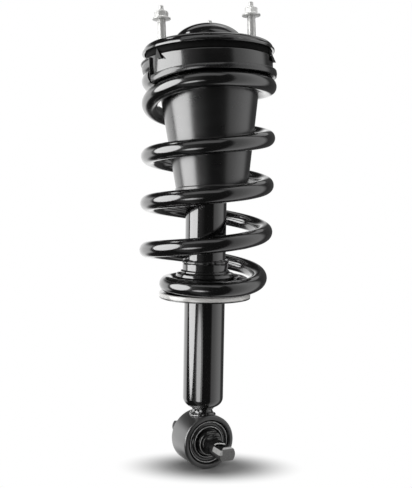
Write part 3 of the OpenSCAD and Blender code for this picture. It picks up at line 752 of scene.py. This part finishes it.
housing = turned("drawn_housing", rounded([
    (collar_r, collar_end, 0.4), (collar_r + 2.5, collar_end, 0.6),
    (collar_r + 2.5, -floor_under, 1), (band_in, -floor_under, 0.5), (band_in, band_code, 0.3),
    (band_r, band_code, 0.5), (band_r, band_top, 2.1), (band_in, band_top, 0.3),
    (band_in, floor_top, 0.5), (collar_r, floor_top, 0.3)]), steps=180)
placed(housing, Matrix.Rotation(math.radians(step_at), 4, "Z"))
follow(housing, housing_height)
for k in range(3):
    bpy.ops.object.select_all(action="DESELECT")
    bpy.ops.mesh.primitive_cone_add(vertices=3, radius1=mm, depth=mm)
    lug = bpy.context.object
    for point, (degrees, proud, height) in zip(lug.data.vertices, lug_corners):
        a = math.radians(degrees + 120 * k)
        point.co = Vector(((band_r + proud) * math.cos(a), (band_r + proud) * math.sin(a), height)) * mm
    bpy.ops.object.mode_set(mode="EDIT")
    mended()
    bpy.ops.object.mode_set(mode="OBJECT")
    cut(housing, lug, "UNION")
placed(housing, MOUNT)
fitted(housing, "mount", housing_paint, ["mount_housing"])

# ---------------------------------------------------------------- mount rubber
# A thick rubber pad moulded between plate and housing, which shows only as the dark
# groove under the plate's rim.

flat_r = 71.5
flat_h = 8.1
plate_r = 83
plate_t = 3


def arc(middle_r, middle_z, width, height, start, end, count):
    """Corners along an elliptic arc between two angles in degrees."""
    angles = [math.radians(start + (end - start) * k / count) for k in range(count + 1)]
    return [(middle_r + width * math.cos(a), middle_z + height * math.sin(a), 0) for a in angles]


def shoulder(inset, start, end):
    """The plate's rounded shoulder, set in by inset."""
    return arc(flat_r, 0, plate_r - flat_r - inset, flat_h - inset, start, end, 10)


dull = Finish("pad_rubber", {"Specular IOR Level": 0.2})
dull.wear({"Base Color": dull.tint(dull.noise(6), grey(0.002), grey(0.005)),
           "Roughness": 0.7 + 0.1 * dull.noise(2)})
pad = placed(turned("mount_pad", rounded([
    (40.5, floor_top + 0.05, 0), (band_in - 0.5, floor_top + 0.05, 0), (band_in - 0.5, band_top, 0),
    (plate_r - 4.6, band_top + 1, 0.8)] + shoulder(plate_t + 0.1, 38, 84)
    + [(flat_r + 0.4, -2, 0), (42.5, -6, 0)])), MOUNT)
fitted(pad, "mount", dull, ["mount_rubber"])

# ---------------------------------------------------------------- mount plate
# The steel stamping that meets the vehicle: a flat ring with a rounded shoulder, a
# small out-turned edge, and a closed dome over the rod's nut. It is enamelled black.

dome_r = 44.75
dome_h = 35
stud_circle = 63.3
stud_hole_r = 5.55
plate_paint = enamel("plate_enamel", rough=0.07, orange_peel=0.004)
outer_dome = arc(0, flat_h, dome_r, dome_h - flat_h, 90, 12, 18)
outer_dome[0] = (0, dome_h, 0)
inner_dome = arc(0, flat_h - plate_t, dome_r - plate_t, dome_h - flat_h, 0, 90, 18)
inner_dome[-1] = (0, dome_h - plate_t, 0)
plate = turned("stamped_plate", rounded(
    outer_dome + [(dome_r + 0.3, 9.2, 0), (dome_r + 1.4, 8.4, 0), (dome_r + 3.3, flat_h, 0)]
    + [(flat_r + (r - flat_r) * 0.87, z, 0) for r, z, fillet in shoulder(0, 90, 10)]
    + [(plate_r - 1.3, 0.5, 0.5), (plate_r, -0.5, 0.25), (plate_r, -plate_t, 0.5),
       (plate_r - 3, -plate_t, 0.5)]
    + shoulder(plate_t, 0, 90) + inner_dome), steps=180)


def at_stud(k):
    """Where a stud stands in the plate: the three are a third of a turn apart."""
    return (Matrix.Rotation(math.radians(180 + 120 * k), 4, "Z")
            @ Matrix.Translation((stud_circle * mm, 0, 0)))


for k in range(3):
    hole = turned("hole", rounded([
        (0, 3, 0), (stud_hole_r, 3, 0), (stud_hole_r, 14, 0), (0, 14, 0)]), steps=48)
    cut(plate, placed(hole, at_stud(k)))
placed(plate, MOUNT)
fitted(plate, "mount", plate_paint, ["mount_plate"])

# ---------------------------------------------------------------- studs
# Three M10 studs with a round head and a knurl, pressed up through the plate. They
# are zinc plated, and end in a dog point that guides the nut. The rear one is longer.

stud_r = 5
head_r = 8
knurl_r = 5.5
thread_pitch = 1.5
thread_from = 27
thread_to = 46
thread_depth = 0.46
dog_r = 2.8
tip_z = 52.48
rear_extra = 2.6

zinc = Finish("zinc_plate", {"Metallic": 0.6})
scratch = zinc.noise(0.9, 3.0, stretch=(1, 1, 6))
zinc.wear({
    "Base Color": zinc.tint(zinc.noise(5, 3.0), (0.68, 0.68, 0.67), (0.9, 0.9, 0.88)),
    "Roughness": 0.3 + 0.14 * scratch,
    "Normal": zinc.bump(scratch, 0.004),
})

rows = int((thread_to - thread_from) / thread_pitch * 8)
stud_outline = rounded([
    (0, 1.6, 0), (head_r, 1.6, 0.5), (head_r, 5, 0.4), (knurl_r, 5, 0), (knurl_r, flat_h, 0.3),
    (stud_r, flat_h + 0.4, 0)])
stud_outline += [Vector((stud_r, thread_from + (thread_to - thread_from) * k / rows)) * mm
                 for k in range(rows + 1)]
stud_outline += [Vector(spot) * mm for spot in ((stud_r - 0.5, thread_to + 0.1), (dog_r, tip_z - 5))]
stud_outline += rounded([(dog_r, tip_z - 4, 0), (dog_r, tip_z, 0.9), (0, tip_z, 0)])
stud = turned("pressed_stud", stud_outline, steps=48)
for point in stud.data.vertices:
    height = point.co.z / mm
    if thread_from <= height <= thread_to:
        fade = min(1, (height - thread_from) / 3, (thread_to - height) / 1.5)
        phase = height / thread_pitch * math.tau - math.atan2(point.co.y, point.co.x)
        widened(point, 1 - fade * thread_depth * (0.5 - 0.5 * math.cos(phase)) / stud_r)


def three_of(piece):
    """The piece and two copies, each with its own mesh."""
    alike = [piece]
    for number in ("_2", "_3"):
        twin = piece.copy()
        twin.data = piece.data.copy()
        twin.name = twin.data.name = piece.name + number
        bpy.context.scene.collection.objects.link(twin)
        alike.append(twin)
    return alike


studs = three_of(stud)
for point in studs[2].data.vertices:
    if point.co.z > (thread_to + 0.05) * mm:
        point.co.z += rear_extra * mm
for k, piece in enumerate(studs):
    placed(piece, MOUNT @ at_stud(k))
    fitted(piece, "mount", zinc, ["mount_studs"], sharp=40)

# ---------------------------------------------------------------- stud nuts
# Hexagon flange nuts, 15 mm across flats, cold formed, chamfered on top and zinc
# plated. They are run on to the studs' tips, as they are when the strut is sold.

nut_z = 35
nut_af = 15
nut_r = nut_af / 2
nut_h = 10
nut_turn, nut_turn_step = 11, 23
flange_r = 11.3
flange_h = 4.4
bore_r = 4.65

bpy.ops.object.select_all(action="DESELECT")
bpy.ops.mesh.primitive_cylinder_add(vertices=6, radius=nut_r / math.cos(math.pi / 6) * mm,
                                    depth=nut_h * mm, location=(0, 0, nut_h / 2 * mm))
nut = bpy.context.object
nut.name = nut.data.name = "flange_nut"
bpy.ops.object.transform_apply()
bevelled(nut, 0.35, segments=2)
cut(nut, turned("crown", rounded([
    (0, -1, 0), (nut_r + 1.1, -1, 0), (nut_r + 1.1, nut_h - 1.4, 1.2), (nut_r - 0.5, nut_h, 0.5),
    (0, nut_h, 0)]), steps=64), "INTERSECT")
cut(nut, turned("flange", rounded([
    (0, 0, 0), (flange_r, 0, 0.5), (flange_r, 1.7, 0.6), (8, 3.4, 1.5), (7, flange_h, 0),
    (0, flange_h, 0)]), steps=64), "UNION")
cut(nut, turned("bore", rounded([
    (0, -1, 0), (bore_r + 0.75, -1, 0), (bore_r, 0.8, 0), (bore_r, nut_h - 0.8, 0),
    (bore_r + 0.95, nut_h + 0.4, 0), (0, nut_h + 0.4, 0)]), steps=48))
for k, piece in enumerate(three_of(nut)):
    placed(piece, MOUNT @ at_stud(k) @ Matrix.Translation((0, 0, nut_z * mm))
           @ Matrix.Rotation(math.radians(nut_turn + nut_turn_step * k), 4, "Z"))
    fitted(piece, "mount", zinc, ["stud_nuts"])

# ---------------------------------------------------------------- working parts
# The rod, its bushing, stops and valves, and the tubes inside the damper. They are
# plain turned and sintered parts, hidden by the cup, and keep their solids' shapes.


def plain(name, constants, grain, dark, light, rough, spread, relief=0):
    """Finish of an inner part: one grain varies its colour, its roughness and its relief."""
    finish = Finish(name, constants)
    texture = finish.noise(*grain)
    finish.wear({"Base Color": finish.tint(texture, dark, light), "Roughness": rough + spread * texture})
    if relief:
        finish.wear({"Normal": finish.bump(texture, relief)})
    return finish


chrome = plain("hard_chrome", {"Metallic": 1.0}, (0.5, 3.0, (8, 8, 1)),
               (0.62, 0.63, 0.65), (0.72, 0.73, 0.75), 0.08, 0.1)
steel = plain("turned_steel", {"Metallic": 1.0}, (0.6, 3.0, (10, 10, 1)),
              (0.33, 0.33, 0.34), (0.5, 0.5, 0.51), 0.28, 0.2, 0.006)
sinter = plain("sintered_iron", {"Metallic": 0.85}, (0.8, 4.0),
               (0.16, 0.16, 0.165), (0.34, 0.34, 0.35), 0.45, 0.2, 0.03)
foam = plain("urethane_foam", {"Specular IOR Level": 0.35}, (0.9, 4.0),
             (0.42, 0.33, 0.16), (0.6, 0.5, 0.28), 0.6, 0.25, 0.12)
tape = plain("bearing_tape", {"Specular IOR Level": 0.4}, (0.7, 3.0),
             (0.16, 0.1, 0.04), (0.3, 0.2, 0.09), 0.4, 0.2)
dark_steel = plain("dark_phosphate", {"Metallic": 0.7}, (3, 4.0),
                   (0.03, 0.03, 0.032), (0.07, 0.07, 0.073), 0.32, 0.22)
inner_finish = {
    "piston_rod": chrome, "bushing_core": steel, "lower_washer": steel, "upper_washer": steel,
    "rod_nut": zinc, "bump_stop": foam, "rebound_stop": rubber, "piston": sinter,
    "piston_band": tape, "rebound_discs": steel, "piston_nut": steel, "pressure_tube": steel,
    "base_valve": sinter, "rod_guide": sinter, "guide_bush": tape, "rod_seal": rubber,
    "striker_cap": dark_steel, "bushing_sleeve": dark_steel, "bushing_rubber": rubber,
}
for name, finish in inner_finish.items():
    coated(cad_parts[name], finish)

# ---------------------------------------------------------------- camera
# A little over a metre off on the front left, at the spring's height, looking slightly
# down and rolled by a degree.

view_turn = math.radians(26.981)
view_pan = math.radians(0.03)
view_down = math.radians(4.945)
view_roll = math.radians(0.996)
view_far = 1149.19
view_z = 352.8
ahead = (-math.sin(view_turn), -math.cos(view_turn))
right = (math.cos(view_turn), -math.sin(view_turn))
camera = bpy.data.objects.new("camera", bpy.data.cameras.new("camera"))
bpy.context.scene.collection.objects.link(camera)
camera.data.sensor_width = 36
camera.data.lens = 66.64
camera.matrix_world = (
    Matrix.Translation((view_far * ahead[0] * mm, view_far * ahead[1] * mm, view_z * mm))
    @ Matrix.Rotation(-view_turn - view_pan, 4, "Z")
    @ Matrix.Rotation(math.radians(90) - view_down, 4, "X") @ Matrix.Rotation(view_roll, 4, "Z"))
bpy.context.scene.camera = camera

# ---------------------------------------------------------------- floor
# A pale floor that turns to plain white away from the part, and that gloss sees only
# close round the eye.

bpy.ops.object.select_all(action="DESELECT")
bpy.ops.mesh.primitive_circle_add(vertices=96, radius=1.6, fill_type="NGON",
                                  location=(0, 0, -(eye_r + 0.1) * mm))
floor = bpy.context.object
floor.name = floor.data.name = "floor"
bpy.ops.object.transform_apply()
pale = Finish("pale_floor", {"Base Color": (0.3, 0.3, 0.3, 1), "Roughness": 0.6})
patch_shift = 0.01
patch_squash = 1.8
aside = pale.along(right) - patch_shift
in_front = patch_squash * (pale.along(ahead) - patch_shift)
patch = pale.math("SQRT", aside * aside + in_front * in_front)
white = pale.node("Emission", 0, {}, {"Color": (1, 1, 1, 1), "Strength": 1.0})
far_off = pale.node("LightPath", "Is Camera Ray") * patch.past(34, 91)
lit = pale.node("MixShader", 0, {}, {0: far_off, 2: white})
pale.tree.links.new(pale.shader.outputs[0], lit.socket.node.inputs[1])
open_front = pale.node("LightPath", "Is Glossy Ray") * pale.reach(1, 1, 1).past(35, 40)
both = pale.node("MixShader", 0, {}, {0: open_front, 1: lit, 2: pale.node("BsdfTransparent")})
pale.tree.links.new(both.socket, pale.tree.nodes["Material Output"].inputs[0])
floor.data.materials.append(pale.material)

# ---------------------------------------------------------------- lamps
# Softboxes on the left, low in front and above for the gloss, and a key and a fill
# that light the part but are not mirrored in it.

lamp_far = 1.4
aim_z = 0.25


def lamp(name, shape, azimuth, elevation, width, height, glow):
    """Softbox aimed at the part: azimuth from the camera, and size, in degrees."""
    a, e = math.radians(azimuth), math.radians(elevation)
    level = Vector((*ahead, 0)) * math.cos(a) + Vector((*right, 0)) * math.sin(a)
    away = level * math.cos(e) + Vector((0, 0, math.sin(e)))
    light = bpy.data.lights.new(name, "AREA")
    light.shape = shape
    light.size = 2 * lamp_far * math.tan(math.radians(width / 2))
    light.size_y = 2 * lamp_far * math.tan(math.radians(height / 2))
    light.energy = glow * math.pi * light.size * light.size_y
    if shape == "ELLIPSE":
        light.energy *= math.pi / 4
    holder = bpy.data.objects.new(name, light)
    bpy.context.scene.collection.objects.link(holder)
    holder.location = away * lamp_far + Vector((0, 0, aim_z))
    holder.rotation_euler = (-away).to_track_quat("-Z", "Y").to_euler()
    holder.visible_camera = False
    return holder


lamp("left_softbox", "ELLIPSE", -73.5, 8, 54, 61, 3.0)
lamp("low_softbox", "ELLIPSE", -24, -19, 36, 22, 0.6)
lamp("low_softbox_middle", "ELLIPSE", -26, -19, 23, 17, 1.3)
lamp("top_panel", "RECTANGLE", -15, 55, 55, 30, 0.3)
lamp("ceiling_panel", "ELLIPSE", -172, 59, 40, 16, 0.42)
lamp("ceiling_left", "ELLIPSE", -108, 55, 15, 7, 2.4)
lamp("ceiling_right", "ELLIPSE", 152, 46, 40, 26, 0.4)
for unseen in (lamp("key_above", "SQUARE", 0, 89, 32, 32, 9.5),
               lamp("fill_right", "SQUARE", 60, 12, 40, 40, 2.6)):
    unseen.visible_glossy = False

# ---------------------------------------------------------------- backdrop
# Plain white to the camera. Gloss sees a dark room with a white backdrop behind the
# part, a grey wall on the right, and two faint panels beside them. Turns are in
# radians, to the right from the camera's side.

world = bpy.data.worlds.new("studio")
world.use_nodes = True
bpy.context.scene.world = world
ambient = 0.22
dark_side = 0.02


class Sky(Finish):
    """The same node writing for the world's own tree."""

    def __init__(self, tree):
        self.tree = tree
        self.place = self.node("TexCoord", "Generated")


sky = Sky(world.node_tree)
turn = sky.math("ARCTAN2", sky.along(right), sky.along(ahead))
rise = sky.axis("Z")
near_level = (1 - rise.between(0.15, 0.45)) * rise.between(-0.6, -0.4)
rear = (1 - turn.between(-2.0, -1.84) + turn.between(2.93, 3.05)) * near_level
wall = turn.between(0.68, 0.86) * (1 - turn.between(1.88, 2.2)) * (0.25 + 0.25 * turn.between(0.8, 1.7))
front_left = turn.between(-1.0, -0.9) * (1 - turn.between(-0.7, 0.0)) * 0.08
rear_right = turn.between(2.0, 2.3) * (1 - turn.between(2.93, 3.05)) * 0.05
shows = sky.node("LightPath", "Is Camera Ray")
mirrored = sky.node("LightPath", "Is Glossy Ray")
strength = ambient + shows * (1 - ambient) + mirrored * (
    rear * (1 - dark_side) + wall + front_left + rear_right + (dark_side - ambient))
background = world.node_tree.nodes["Background"]
sky.feed(background.inputs["Color"], (1, 1, 1, 1))
sky.feed(background.inputs["Strength"], strength)
bpy.context.scene.view_settings.view_transform = "Standard"
